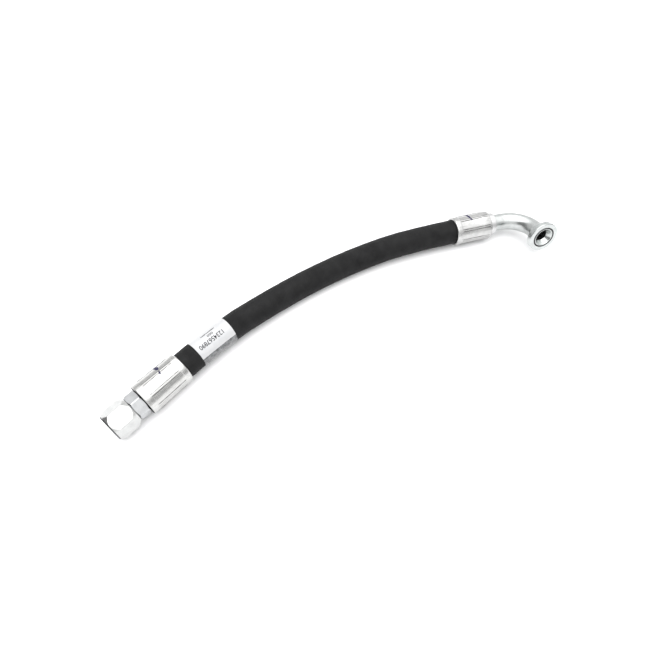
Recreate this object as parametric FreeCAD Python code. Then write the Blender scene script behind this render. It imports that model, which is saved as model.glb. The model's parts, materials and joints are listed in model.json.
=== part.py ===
"""Hydraulic hose assembly: four-spiral hose, swivel-nut end and 90 degree flange end.

Millimetres, +Z up. The assembly lies on the plane Z = 0, and the origin is below the
middle of the two end fittings. Each end fitting is drawn in its own frame: X runs out of
the hose along the fitting's axis, from 0 at the mouth of the ferrule, and Z is up.
"""
import FreeCAD, Part
import math
import os

os.makedirs("parts", exist_ok=True)

V = FreeCAD.Vector

# ---- driving dimensions -------------------------------------------------------------
# hose, DN19 with four spirals of wire
HOSE_BORE_R = 9.5
HOSE_OUTER_R = 15.5
INNER_TUBE_WALL = 1.70
WIRE_WALL = 0.55
INSULATION_WALL = 0.22
LAYER_GAP = 0.03
SPIRALS = 4
HOSE_IN_FERRULE = 42.0

# where each fitting stands: mouth of its ferrule, and the heading of its axis
NUT_END_MOUTH = V(-188.6, -75.0, 19.2)
NUT_END_HEADING = 229.0
FLANGE_END_MOUTH = V(132.9, 126.0, 18.5)
FLANGE_END_HEADING = 15.5

# the hose leaves each ferrule straight, and lies on Z = 0 in one bow between them
NUT_END_LEAD = 54.0
FLANGE_END_LEAD = 60.0
HOSE_BOW = [V(-100.1, 11.4, 15.8), V(-50.1, 47.2, 15.6), V(8.6, 81.7, 15.6)]

# label wrapped round the hose near the nut end
LABEL_START = 19.0
LABEL_LENGTH = 47.6
LABEL_THICKNESS = 0.20
LABEL_GAP = 0.05
LABEL_PRINTED_ARC = (19.0, 206.0)
LABEL_CLEAR_ARC = (-96.0, 18.0)

# crimped ferrules; the clock is where the first die line stands, in degrees from +Z towards +Y
NUT_END_FERRULE = {"start": 0.8, "end": 53.8, "mouth_r": 18.2, "end_r": 19.2,
                   "mouth_round": 1.6, "end_round": 0.9, "clock": -8.0}
FLANGE_END_FERRULE = {"start": 1.3, "end": 50.0, "mouth_r": 18.4, "end_r": 18.5,
                      "mouth_round": 1.6, "end_round": 2.2, "clock": -2.0}
FERRULE_BORE_R = HOSE_OUTER_R + 0.05
FERRULE_LIP_START = 46.6
FERRULE_LIP_R = 12.1
FERRULE_TEETH = 5
TOOTH_PITCH = 7.0
TOOTH_DEPTH = 0.9
TOOTH_WIDTH = 2.4
DIE_LINES = 8
DIE_LINE_DEPTH = 0.35
DIE_LINE_WIDTH = 1.1

# barbed stem of both inserts
STEM_BORE_R = 7.75
STEM_R = HOSE_BORE_R - 0.05
STEM_TIP = 7.0
BARBS = 5
BARB_PITCH = 6.5
BARB_DEPTH = 0.55
LOCK_SHOULDER_R = 14.5
LOCK_SHOULDER_START = 43.4
LOCK_SHOULDER_END = 46.4
LOCK_GROOVE_R = 12.0

# hexagon body and nose of the nut-end insert
BODY_HEX_AF = 27.0
BODY_HEX_START = 54.4
BODY_HEX_END = 66.9
BODY_HEX_CHAMFER = 1.0
BODY_HEX_CLOCK = 13.3
NECK_R = 10.7
NOSE_START = 75.0
NOSE_R = 11.9
NOSE_END = 80.5
SEAT_ANGLE = 37.0
SEAT_MOUTH_R = 11.2

# swivel nut, 1-1/16-12 thread
NUT_AF = 31.75
NUT_START = 67.3
NUT_END = 95.0
NUT_END_R = 15.1
NUT_CHAMFER_LENGTH = 6.2
NUT_CLOCK = -4.4
NUT_REAR_BORE_R = NECK_R + 0.30
NUT_WALL_END = 74.6
NUT_RELIEF_R = 13.7
NUT_RELIEF_END = 80.7
NUT_THREAD_MINOR_R = 12.35
NUT_MOUTH_R = 13.9

# wire that holds the nut on the neck
THRUST_WIRE_R = 0.85
THRUST_WIRE_AT = 71.0
THRUST_WIRE_RING_R = 10.85
THRUST_GROOVE_CLEARANCE = 0.12
THRUST_WIRE_ARC = 345.0

# collar of the flange-end insert, and the bent tube
COLLAR_START = 50.6
COLLAR_END = 57.5
COLLAR_R = 14.6
COLLAR_CHAMFER = 0.8
TUBE_R = 11.0
TUBE_BORE_R = 7.0
TUBE_SOCKET_START = 52.4
SOCKET_GAP = 0.04
BEND_VERTEX = 101.0
BEND_RADIUS = 33.0
FLANGE_DROP = 53.6
ELBOW_ROLL = 15.0
BRAZE_LEG = 1.3

# flange head, 3/4 inch code 61
HEAD_R = 19.05
HEAD_THICKNESS = 6.73
HEAD_EDGE = 0.9
HUB_LENGTH = 7.5
HUB_ROOT_R = 13.6
HUB_TIP_R = 12.6
TUBE_STOP = 7.2
PORT_MOUTH_R = 11.0
PORT_CONE_DEPTH = 6.0
GROOVE_OUTER_R = 13.65
GROOVE_INNER_R = 11.75
GROOVE_DEPTH = 1.5
ORING_R = 0.89
ORING_RING_R = 12.70


# ---- helpers ------------------------------------------------------------------------
def export(shape, name):
    """Write one node, after checking that it is a sound solid."""
    solid = shape.Solids[0] if len(shape.Solids) == 1 else shape
    if not solid.isValid() or len(shape.Solids) != 1:
        raise ValueError("%s: valid %s, solids %d" % (name, solid.isValid(), len(shape.Solids)))
    solid.exportStep("parts/%s.step" % name)
    print("%-24s volume %9.1f mm3" % (name, solid.Volume))


def turned(points):
    """Solid of revolution about X from (x, radius) points."""
    corners = [V(x, 0, r) for x, r in points]
    outline = Part.makePolygon(corners + corners[:1])
    return Part.Face(outline).revolve(V(0, 0, 0), V(1, 0, 0), 360)


def ring(x0, x1, inner, outer):
    return turned([(x0, inner), (x1, inner), (x1, outer), (x0, outer)])


def hexagon(x0, x1, across_flats, clock):
    """Hexagonal bar along X with one corner at `clock` degrees from +Z."""
    corner_r = across_flats / math.sqrt(3.0)
    corners = []
    for i in range(6):
        a = math.radians(clock + 60.0 * i)
        corners.append(V(x0, corner_r * math.sin(a), corner_r * math.cos(a)))
    return Part.Face(Part.makePolygon(corners + corners[:1])).extrude(V(x1 - x0, 0, 0))


def chamfered_envelope(x0, x1, end_r, corner_r, length):
    return turned([(x0, 0), (x1, 0), (x1, end_r), (x1 - length, corner_r),
                   (x0 + length, corner_r), (x0, end_r)])


def round_rim(body, x, rounding):
    """Round the outer rim that stands at x."""
    rims = [e for e in body.Edges if isinstance(e.Curve, Part.Circle) and abs(e.Curve.Center.x - x) < 1e-6]
    return body.makeFillet(rounding, rims)


def torus(x, ring_r, wire_r, arc=360.0):
    """Ring of round wire about X, centred at x."""
    disc = Part.Face(Part.Wire(Part.makeCircle(wire_r, V(x, 0, ring_r), V(0, 1, 0))))
    return disc.revolve(V(0, 0, 0), V(1, 0, 0), arc)


def place(shape, mouth, heading):
    """Carry a shape from its fitting's frame to the assembly."""
    placed = shape.copy()
    placed.rotate(V(0, 0, 0), V(0, 0, 1), heading)
    placed.translate(mouth)
    return placed


def at_nut_end(shape):
    return place(shape, NUT_END_MOUTH, NUT_END_HEADING)


def at_flange_end(shape):
    return place(shape, FLANGE_END_MOUTH, FLANGE_END_HEADING)


# ---- hose ---------------------------------------------------------------------------
def heading_vector(heading):
    return V(math.cos(math.radians(heading)), math.sin(math.radians(heading)), 0)


def route_points():
    nut_axis = heading_vector(NUT_END_HEADING)
    flange_axis = heading_vector(FLANGE_END_HEADING)
    first = [NUT_END_MOUTH + nut_axis * HOSE_IN_FERRULE, NUT_END_MOUTH - nut_axis * NUT_END_LEAD]
    last = [FLANGE_END_MOUTH - flange_axis * FLANGE_END_LEAD,
            FLANGE_END_MOUTH + flange_axis * HOSE_IN_FERRULE]
    return first + HOSE_BOW + last


def rounded_route(points):
    """Straight runs joined by tangent arcs, each as large as its two runs allow."""
    edges = []
    here = points[0]
    for before, corner, after in zip(points, points[1:], points[2:]):
        arriving = (corner - before).normalize()
        leaving = (after - corner).normalize()
        half_turn = arriving.getAngle(leaving) / 2.0
        reach = 0.45 * min((corner - before).Length, (after - corner).Length)
        print("bend radius %.0f mm, turn %.1f degrees"
              % (reach / math.tan(half_turn), math.degrees(2.0 * half_turn)))
        a = corner - arriving * reach
        b = corner + leaving * reach
        inward = (leaving - arriving).normalize()
        sagitta = reach * math.tan(half_turn / 2.0)
        middle = (a + b) * 0.5 - inward * sagitta
        edges.append(Part.LineSegment(here, a).toShape())
        edges.append(Part.Arc(a, middle, b).toShape())
        here = b
    edges.append(Part.LineSegment(here, points[-1]).toShape())
    return Part.Wire(edges)


def part_of_route(wire, start, length):
    """The stretch of the route between two distances along it."""
    edges = []
    passed = 0.0
    for edge in wire.Edges:
        low = max(start - passed, 0.0)
        high = min(start + length - passed, edge.Length)
        if high - low > 1e-6:
            curve = edge.Curve
            edges.append(curve.toShape(edge.getParameterByLength(low),
                                       edge.getParameterByLength(high)))
        passed += edge.Length
    return Part.Wire(edges)


def section_frame(wire):
    """Start point, direction, side and up vectors at the start of a route."""
    edge = wire.Edges[0]
    start = edge.valueAt(edge.FirstParameter)
    ahead = edge.tangentAt(edge.FirstParameter)
    side = ahead.cross(V(0, 0, 1)).normalize()
    return start, ahead, side, side.cross(ahead)


def hose_layer(wire, inner, outer):
    start, ahead, _side, _up = section_frame(wire)
    outer_disc, inner_disc = (Part.Face(Part.Wire(Part.makeCircle(r, start, ahead)))
                              for r in (outer, inner))
    tube = wire.makePipe(outer_disc.cut(inner_disc).Faces[0])
    expected = math.pi * (outer ** 2 - inner ** 2) * wire.Length
    if abs(tube.Volume / expected - 1.0) > 0.01:
        raise ValueError("hose layer volume is off: %.1f against %.1f" % (tube.Volume, expected))
    return tube


def hose_sector(wire, inner, outer, arc):
    """Strip wrapped over part of the hose's round, angles from the camera-side horizontal up."""
    start, _ahead, side, up = section_frame(wire)

    def rim(radius, degrees):
        a = math.radians(degrees)
        return start + side * (radius * math.cos(a)) + up * (radius * math.sin(a))

    low, high = arc
    middle = (low + high) / 2.0
    edges = [
        Part.Arc(rim(outer, low), rim(outer, middle), rim(outer, high)).toShape(),
        Part.LineSegment(rim(outer, high), rim(inner, high)).toShape(),
        Part.Arc(rim(inner, high), rim(inner, middle), rim(inner, low)).toShape(),
        Part.LineSegment(rim(inner, low), rim(outer, low)).toShape(),
    ]
    return wire.makePipe(Part.Face(Part.Wire(edges)))


def make_hose():
    route = rounded_route(route_points())
    print("hose length %.1f mm, between ferrules %.1f mm"
          % (route.Length, route.Length - 2.0 * HOSE_IN_FERRULE))
    inner = HOSE_BORE_R
    outer = inner + INNER_TUBE_WALL
    export(hose_layer(route, inner, outer), "hose_inner_tube")
    for i in range(1, SPIRALS + 1):
        inner = outer + LAYER_GAP
        outer = inner + WIRE_WALL
        export(hose_layer(route, inner, outer), "wire_spiral_%d" % i)
        if i < SPIRALS:
            inner = outer + LAYER_GAP
            outer = inner + INSULATION_WALL
            export(hose_layer(route, inner, outer), "insulation_%d" % i)
    export(hose_layer(route, outer + LAYER_GAP, HOSE_OUTER_R), "hose_cover")

    label_route = part_of_route(route, HOSE_IN_FERRULE + LABEL_START, LABEL_LENGTH)
    label_r = HOSE_OUTER_R + LABEL_GAP
    for name, arc in (("hose_label", LABEL_PRINTED_ARC), ("label_clear_wrap", LABEL_CLEAR_ARC)):
        export(hose_sector(label_route, label_r, label_r + LABEL_THICKNESS, arc), name)


# ---- ferrules and inserts -----------------------------------------------------------
def ferrule(size):
    """Crimped sleeve: toothed bore over the hose, lip in the insert's locking groove."""
    start, end = size["start"], size["end"]
    body = turned([(start, 0), (end, 0), (end, size["end_r"]), (start, size["mouth_r"])])
    body = round_rim(body, start, size["mouth_round"])
    body = round_rim(body, end, size["end_round"])
    body = body.cut(ring(-1, FERRULE_LIP_START, 0, FERRULE_BORE_R))
    body = body.cut(ring(-1, end + 1, 0, FERRULE_LIP_R))
    for i in range(FERRULE_TEETH):
        x = 5.0 + TOOTH_PITCH * i
        body = body.cut(ring(x, x + TOOTH_WIDTH, 0, FERRULE_BORE_R + TOOTH_DEPTH))
    taper = (size["end_r"] - size["mouth_r"]) / (end - start)
    line_start = start + 7.0
    for i in range(DIE_LINES):
        bottom_r = size["mouth_r"] + taper * (line_start - start) - DIE_LINE_DEPTH
        line = Part.makeBox(end - line_start - 7.0, DIE_LINE_WIDTH, 2.0,
                            V(line_start, -DIE_LINE_WIDTH / 2.0, bottom_r))
        line.rotate(V(line_start, 0, bottom_r), V(0, 1, 0), -math.degrees(math.atan(taper)))
        line.rotate(V(0, 0, 0), V(1, 0, 0), -(size["clock"] + 360.0 * i / DIE_LINES))
        body = body.cut(line)
    return body


def barbed_stem():
    """Outline of the stem from its tip to the locking groove, as (x, radius) points."""
    points = [(STEM_TIP, STEM_BORE_R), (STEM_TIP, STEM_R - 0.8), (STEM_TIP + 1.5, STEM_R)]
    for i in range(BARBS):
        x = STEM_TIP + 3.0 + BARB_PITCH * i
        points += [(x, STEM_R), (x, STEM_R - BARB_DEPTH), (x + BARB_PITCH - 2.0, STEM_R)]
    points += [(LOCK_SHOULDER_START, STEM_R), (LOCK_SHOULDER_START, LOCK_SHOULDER_R),
               (LOCK_SHOULDER_END, LOCK_SHOULDER_R), (LOCK_SHOULDER_END, LOCK_GROOVE_R)]
    return points


def nut_end_insert():
    """Barbed stem, hexagon body, grooved neck and nose with a 37 degree seat."""
    groove_r = THRUST_WIRE_R + THRUST_GROOVE_CLEARANCE
    seat_depth = (SEAT_MOUTH_R - STEM_BORE_R) / math.tan(math.radians(SEAT_ANGLE))
    core = turned(barbed_stem() + [
        (BODY_HEX_START + 1.0, LOCK_GROOVE_R), (BODY_HEX_START + 1.0, NECK_R),
        (NOSE_START, NECK_R), (NOSE_START, NOSE_R), (NOSE_END - 0.4, NOSE_R),
        (NOSE_END, NOSE_R - 0.4), (NOSE_END, SEAT_MOUTH_R),
        (NOSE_END - seat_depth, STEM_BORE_R)])
    core = core.cut(torus(THRUST_WIRE_AT, THRUST_WIRE_RING_R, groove_r))
    corner_r = BODY_HEX_AF / math.sqrt(3.0)
    body = hexagon(BODY_HEX_START, BODY_HEX_END, BODY_HEX_AF, BODY_HEX_CLOCK)
    body = body.common(chamfered_envelope(BODY_HEX_START, BODY_HEX_END, corner_r - BODY_HEX_CHAMFER,
                                          corner_r, BODY_HEX_CHAMFER))
    body = body.cut(ring(BODY_HEX_START - 1, BODY_HEX_END + 1, 0, STEM_BORE_R + 1.0))
    return core.fuse(body).removeSplitter()


def swivel_nut():
    """Hexagon nut with long end chamfers, rear wall over the neck and threaded bore."""
    corner_r = NUT_AF / math.sqrt(3.0)
    body = hexagon(NUT_START, NUT_END, NUT_AF, NUT_CLOCK)
    body = body.common(chamfered_envelope(NUT_START, NUT_END, NUT_END_R, corner_r,
                                          NUT_CHAMFER_LENGTH))
    mouth_depth = NUT_MOUTH_R - NUT_THREAD_MINOR_R
    body = body.cut(turned([
        (NUT_START - 1, 0), (NUT_START - 1, NUT_REAR_BORE_R), (NUT_WALL_END, NUT_REAR_BORE_R),
        (NUT_WALL_END, NUT_RELIEF_R), (NUT_RELIEF_END, NUT_RELIEF_R),
        (NUT_RELIEF_END, NUT_THREAD_MINOR_R), (NUT_END - mouth_depth, NUT_THREAD_MINOR_R),
        (NUT_END, NUT_MOUTH_R), (NUT_END + 1, NUT_MOUTH_R), (NUT_END + 1, 0)]))
    return body.cut(torus(THRUST_WIRE_AT, THRUST_WIRE_RING_R,
                          THRUST_WIRE_R + THRUST_GROOVE_CLEARANCE))


def flange_end_insert():
    """Barbed stem with a round collar that takes the end of the bent tube."""
    socket_r = TUBE_R + SOCKET_GAP
    return turned(barbed_stem() + [
        (COLLAR_START, LOCK_GROOVE_R), (COLLAR_START, COLLAR_R - COLLAR_CHAMFER),
        (COLLAR_START + COLLAR_CHAMFER, COLLAR_R), (COLLAR_END - COLLAR_CHAMFER, COLLAR_R),
        (COLLAR_END, COLLAR_R - COLLAR_CHAMFER), (COLLAR_END, socket_r),
        (TUBE_SOCKET_START, socket_r), (TUBE_SOCKET_START, STEM_BORE_R)])


# ---- elbow and flange ---------------------------------------------------------------
def elbow_tube():
    """Bent tube from the collar's socket round to the socket in the flange head."""
    start = V(TUBE_SOCKET_START + SOCKET_GAP, 0, 0)
    bend_start = V(BEND_VERTEX - BEND_RADIUS, 0, 0)
    bend_end = V(BEND_VERTEX, -BEND_RADIUS, 0)
    inset = BEND_RADIUS * (1.0 - math.sqrt(0.5))
    bend_middle = V(BEND_VERTEX - inset, -inset, 0)
    finish = V(BEND_VERTEX, -(FLANGE_DROP - TUBE_STOP - SOCKET_GAP), 0)
    wire = Part.Wire([Part.LineSegment(start, bend_start).toShape(),
                      Part.Arc(bend_start, bend_middle, bend_end).toShape(),
                      Part.LineSegment(bend_end, finish).toShape()])
    return hose_layer(wire, TUBE_BORE_R, TUBE_R)


def across_elbow(shape):
    """Carry a shape turned about X to the flange, its X running out of the flange face."""
    placed = shape.copy()
    placed.rotate(V(0, 0, 0), V(0, 0, 1), -90)
    placed.translate(V(BEND_VERTEX, -FLANGE_DROP, 0))
    return placed


def rolled(shape):
    """Turn the elbow's plane about the fitting's axis, so that the flange face looks up."""
    placed = shape.copy()
    placed.rotate(V(0, 0, 0), V(1, 0, 0), -ELBOW_ROLL)
    return placed


def flange_head():
    """Flange head: X = 0 is the sealing face, with a cone down to the tube's bore."""
    back = -HEAD_THICKNESS
    hub_end = back - HUB_LENGTH
    socket_r = TUBE_R + SOCKET_GAP
    return turned([
        (-PORT_CONE_DEPTH, TUBE_BORE_R), (0, PORT_MOUTH_R), (0, GROOVE_INNER_R),
        (-GROOVE_DEPTH, GROOVE_INNER_R), (-GROOVE_DEPTH, GROOVE_OUTER_R), (0, GROOVE_OUTER_R),
        (0, HEAD_R - HEAD_EDGE),
        (-HEAD_EDGE, HEAD_R), (back + HEAD_EDGE, HEAD_R), (back, HEAD_R - HEAD_EDGE),
        (back, HUB_ROOT_R + 0.8), (back - 0.8, HUB_ROOT_R), (hub_end, HUB_TIP_R),
        (hub_end, socket_r), (-TUBE_STOP, socket_r), (-TUBE_STOP, TUBE_BORE_R)])


def braze_ring(x, outward):
    """Fillet of braze round the tube where it enters a socket, leaning on the face at x."""
    inner = TUBE_R + SOCKET_GAP
    x0 = x + outward * SOCKET_GAP
    return turned([(x0, inner), (x0 + outward * BRAZE_LEG, inner), (x0, inner + BRAZE_LEG)])


def make_nut_end():
    export(at_nut_end(ferrule(NUT_END_FERRULE)), "ferrule_nut_end")
    export(at_nut_end(nut_end_insert()), "insert_nut_end")
    export(at_nut_end(swivel_nut()), "swivel_nut")
    export(at_nut_end(torus(THRUST_WIRE_AT, THRUST_WIRE_RING_R, THRUST_WIRE_R, THRUST_WIRE_ARC)),
           "nut_thrust_wire")


def make_flange_end():
    export(at_flange_end(ferrule(FLANGE_END_FERRULE)), "ferrule_flange_end")
    export(at_flange_end(flange_end_insert()), "insert_flange_end")
    export(at_flange_end(braze_ring(COLLAR_END, 1)), "braze_ring_collar")
    export(at_flange_end(rolled(elbow_tube())), "elbow_tube")
    hub_end = -HEAD_THICKNESS - HUB_LENGTH
    export(at_flange_end(rolled(across_elbow(braze_ring(hub_end, -1)))), "braze_ring_flange")
    export(at_flange_end(rolled(across_elbow(flange_head()))), "flange_head")
    export(at_flange_end(rolled(across_elbow(torus(-GROOVE_DEPTH + ORING_R + 0.03, ORING_RING_R,
                                                   ORING_R)))), "flange_o_ring")


make_hose()
make_nut_end()
make_flange_end()
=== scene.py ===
import json
import math
import random
import bmesh
import bpy
from mathutils import Matrix, Vector, noise


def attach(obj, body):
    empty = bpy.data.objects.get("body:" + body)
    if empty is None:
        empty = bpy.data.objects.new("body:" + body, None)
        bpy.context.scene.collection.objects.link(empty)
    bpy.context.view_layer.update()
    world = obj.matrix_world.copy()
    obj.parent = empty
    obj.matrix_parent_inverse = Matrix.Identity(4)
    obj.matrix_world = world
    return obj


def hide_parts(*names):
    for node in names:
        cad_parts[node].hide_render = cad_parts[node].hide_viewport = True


# Metres, +Z up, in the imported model's frame. Each fitting is drawn along its own axis:
# X runs out of the hose from 0 at the ferrule's mouth, and angles go from up towards +Y.
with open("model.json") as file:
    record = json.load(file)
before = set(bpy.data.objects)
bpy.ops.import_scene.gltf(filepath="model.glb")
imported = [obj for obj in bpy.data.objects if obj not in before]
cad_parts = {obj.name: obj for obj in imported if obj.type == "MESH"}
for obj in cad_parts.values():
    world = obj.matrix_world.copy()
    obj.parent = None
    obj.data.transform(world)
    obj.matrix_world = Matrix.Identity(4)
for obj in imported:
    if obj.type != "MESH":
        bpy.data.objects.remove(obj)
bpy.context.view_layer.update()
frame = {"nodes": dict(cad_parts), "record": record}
mounts = {mount["name"]: mount for mount in frame["record"]["mounts"]}
scene = bpy.context.scene
mm = 0.001
print("frame: %d nodes" % len(frame["nodes"]))

cameraSetup = {"place": (-0.0333, -0.3315, 0.4917), "tiltDeg": 33.3, "lens": 27.19, "sensor": 36.0}


def addObject(name, data):
    thing = bpy.data.objects.new(name, data)
    scene.collection.objects.link(thing)
    return thing


def makeCamera(setup):
    data = bpy.data.cameras.new("camera")
    data.lens = setup["lens"]
    data.sensor_width = setup["sensor"]
    camera = addObject("camera", data)
    camera.location = setup["place"]
    camera.rotation_euler = (math.radians(setup["tiltDeg"]), 0.0, 0.0)
    scene.camera = camera


makeCamera(cameraSetup)

# node helpers


def feed(tree, node, socket, source):
    # a source is another node's output, or a plain value
    if isinstance(source, bpy.types.NodeSocket):
        tree.links.new(source, node.inputs[socket])
    else:
        node.inputs[socket].default_value = source


def addNode(tree, kind, sources=(), **settings):
    # sources are one for each socket in turn, or a dictionary by socket
    node = tree.nodes.new(kind)
    for name, value in settings.items():
        setattr(node, name, value)
    for socket, source in sources.items() if isinstance(sources, dict) else enumerate(sources):
        feed(tree, node, socket, source)
    return node


def math2(tree, operation, a, b=0.0, clamp=False):
    return addNode(tree, "ShaderNodeMath", (a, b), operation=operation, use_clamp=clamp).outputs[0]


def plus(tree, a, b):
    return math2(tree, "ADD", a, b)


def minus(tree, a, b):
    return math2(tree, "SUBTRACT", a, b)


def times(tree, a, b):
    return math2(tree, "MULTIPLY", a, b)


def over(tree, a, b):
    return math2(tree, "DIVIDE", a, b)


def remap(tree, value, fromLow, fromHigh, toLow, toHigh, smooth=False):
    return addNode(tree, "ShaderNodeMapRange", (value, fromLow, fromHigh, toLow, toHigh),
                   interpolation_type="SMOOTHSTEP" if smooth else "LINEAR").outputs[0]


def mixColour(tree, factor, a, b):
    a, b = (c if isinstance(c, bpy.types.NodeSocket) else (*c, 1.0) for c in (a, b))
    return addNode(tree, "ShaderNodeMix", {0: factor, 6: a, 7: b}, data_type="RGBA").outputs[2]


def split(tree, vector):
    return addNode(tree, "ShaderNodeSeparateXYZ", (vector,)).outputs


def cloud(tree, place, scale, detail):
    return addNode(tree, "ShaderNodeTexNoise", {"Vector": place, "Scale": scale, "Detail": detail}).outputs[0]


def openGroup(name, kind, sockets, outputs):
    # each socket is given as its name and its kind, or as its name and its value
    tree = bpy.data.node_groups.new(name, kind)
    for label, value in sockets.items():
        named = isinstance(value, str)
        socket = tree.interface.new_socket(
            name=label, in_out="INPUT", socket_type="NodeSocket" + (value if named else "Float"))
        if not named:
            socket.default_value = value
    for label, given in outputs.items():
        tree.interface.new_socket(name=label, in_out="OUTPUT", socket_type="NodeSocket" + given)
    return tree, addNode(tree, "NodeGroupInput").outputs, addNode(tree, "NodeGroupOutput")


def newGroup(name, values, outputs):
    # a shader group that reads a place on the surface and gives numbers
    return openGroup(name, "ShaderNodeTree", {"Surface": "Vector", **values}, dict.fromkeys(outputs, "Float"))


def useGroup(tree, group, **values):
    # halfWidth=... feeds the socket Half Width
    sources = {"".join(" " + c if c.isupper() else c for c in name).title(): v for name, v in values.items()}
    return addNode(tree, "ShaderNodeGroup", sources, node_tree=group).outputs


# shader groups, each used by several materials


def makePlatingMottle():
    # soft cloudy patches and fine speckle, both round 0.5
    tree, given, out = newGroup("platingMottle", {"Patch Size": 0.006, "Speck Size": 0.0006},
                                ["Patches", "Specks"])
    for size, detail, label in (("Patch Size", 4.0, "Patches"), ("Speck Size", 2.0, "Specks")):
        perMetre = over(tree, 1.0, given[size])
        place = addNode(tree, "ShaderNodeVectorMath", {0: given["Surface"], 3: perMetre}, operation="SCALE")
        feed(tree, out, label, cloud(tree, place.outputs[0], 1.0, detail))
    return tree


def makeToolLines():
    # fine lines left by a turning tool, running round the piece
    tree, given, out = newGroup("toolLines", {"Line Pitch": 0.0004}, ["Height"])
    along = over(tree, split(tree, given["Surface"])[0], given["Line Pitch"])
    lines = addNode(tree, "ShaderNodeTexNoise", {"W": along, "Scale": 1.0, "Detail": 3.0},
                    noise_dimensions="1D")
    feed(tree, out, "Height", lines.outputs[0])
    return tree


def makeDieStreaks():
    # long drag marks along the axis, from the crimping dies or from drawn bar; Height is the real marks, and
    # a material darkens its Mask as painted reflection lines along them
    tree, given, out = newGroup("dieStreaks", {"Streak Width": 0.0008, "Streak Length": 0.03},
                                ["Height", "Mask"])
    along, across, _depth = split(tree, given["Surface"])
    place = addNode(tree, "ShaderNodeCombineXYZ", (over(tree, along, given["Streak Length"]),
                                                   over(tree, across, given["Streak Width"])))
    streaks = cloud(tree, place.outputs[0], 1.0, 3.0)
    feed(tree, out, "Height", streaks)
    feed(tree, out, "Mask", remap(tree, streaks, 0.56, 0.72, 0.0, 1.0, True))
    return tree


def makeDieLines():
    # painted shade: dark lines down both flanks of each raised line between two crimping dies
    tree, given, out = newGroup("dieLines", {
        "Spacing": 0.0145, "Clock": 0.0, "Half Width": 0.001, "Soft": 0.0004, "Start": 0.008, "End": 0.047,
    }, ["Mask"])
    along, across, _depth = split(tree, given["Surface"])
    turn = over(tree, minus(tree, across, given["Clock"]), given["Spacing"])
    away = math2(tree, "ABSOLUTE", minus(tree, turn, math2(tree, "ROUND", turn)))
    away = times(tree, away, given["Spacing"])
    flank = math2(tree, "ABSOLUTE", minus(tree, away, given["Half Width"]))
    line = remap(tree, flank, 0.0, given["Soft"], 1.0, 0.0, True)
    for edge, soft in ((given["Start"], 0.002), (given["End"], -0.002)):
        past = math2(tree, "DIVIDE", minus(tree, along, edge), soft, clamp=True)
        line = times(tree, line, past)
    feed(tree, out, "Mask", line)
    return tree


def makeClothImprint():
    # print of the wrapping cloth that the rubber was cured in
    tree, given, out = newGroup("clothImprint", {"Thread Pitch": 0.001, "Lean": 0.25}, ["Height"])
    along, across, _depth = split(tree, given["Surface"])
    leaned = plus(tree, along, times(tree, across, given["Lean"]))
    crossed = minus(tree, across, times(tree, along, given["Lean"]))
    waves = []
    for place in (leaned, crossed):
        turn = times(tree, over(tree, place, given["Thread Pitch"]), math.tau)
        waves.append(math2(tree, "SINE", turn))
    feed(tree, out, "Height", remap(tree, times(tree, waves[0], waves[1]), -1.0, 1.0, 0.0, 1.0))
    return tree


def makePaintDab():
    # 1 inside a ragged brush mark, 0 outside
    tree, given, out = newGroup("paintDab", {
        "Along": 0.0, "Round": 0.0, "Half Length": 0.003, "Half Width": 0.001, "Lean": 0.0, "Bow": 0.0,
    }, ["Mask"])
    along, across, _depth = split(tree, given["Surface"])
    x = minus(tree, along, given["Along"])
    y = minus(tree, across, given["Round"])
    cos, sin = (math2(tree, kind, given["Lean"]) for kind in ("COSINE", "SINE"))
    p = plus(tree, times(tree, x, cos), times(tree, y, sin))
    q = minus(tree, times(tree, y, cos), times(tree, x, sin))
    p = over(tree, p, given["Half Length"])
    q = over(tree, q, given["Half Width"])
    q = plus(tree, q, times(tree, given["Bow"], times(tree, p, p)))
    length = math2(tree, "POWER", math2(tree, "ABSOLUTE", p), 3.0)
    size = plus(tree, length, times(tree, q, q))
    rag = cloud(tree, given["Surface"], 900.0, 3.0)
    size = plus(tree, size, remap(tree, rag, 0.3, 0.7, -0.35, 0.35))
    feed(tree, out, "Mask", remap(tree, size, 0.85, 1.1, 1.0, 0.0, True))
    return tree


platingMottle = makePlatingMottle()
toolLines = makeToolLines()
dieStreaks = makeDieStreaks()
dieLines = makeDieLines()
clothImprint = makeClothImprint()
paintDab = makePaintDab()

# materials

zincLook = {
    "ferruleNutColour": (0.53, 0.53, 0.52), "ferruleFlangeColour": (0.49, 0.49, 0.485),
    # the rim colour is painted shade, laid on the nut's front rim
    "fittingColour": (0.62, 0.63, 0.64), "nutColour": (0.52, 0.525, 0.52), "rimShadeColour": (0.07, 0.072, 0.076),
    "tubeColour": (0.49, 0.505, 0.50), "flangeColour": (0.50, 0.52, 0.515),
    "brazeColour": (0.46, 0.47, 0.455), "collarColour": (0.58, 0.58, 0.58),
    # the gap colour is painted shade, laid on faces in the narrow gap by the nut-end hexagon
    "gapShadeColour": (0.030, 0.032, 0.034), "shade": 0.84, "dieFlankShade": 0.12, "streakReflectionShade": 0.38,
}


def plainMaterial(name, metallic, specular):
    material = bpy.data.materials.new(name)
    material.use_nodes = True
    tree = material.node_tree
    shader = next(n for n in tree.nodes if n.type == "BSDF_PRINCIPLED")
    shader.inputs["Metallic"].default_value = metallic
    shader.inputs["Specular IOR Level"].default_value = specular
    return material, tree, shader


def startMaterial(name, metallic, specular=0.5, surfaceFrom="own"):
    material, tree, shader = plainMaterial(name, metallic, specular)
    if surfaceFrom == "own":
        surface = addNode(tree, "ShaderNodeUVMap", uv_map="surface").outputs[0]
    else:
        surface = addNode(tree, "ShaderNodeTexCoord").outputs["Object"]
    return material, tree, shader, surface


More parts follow.
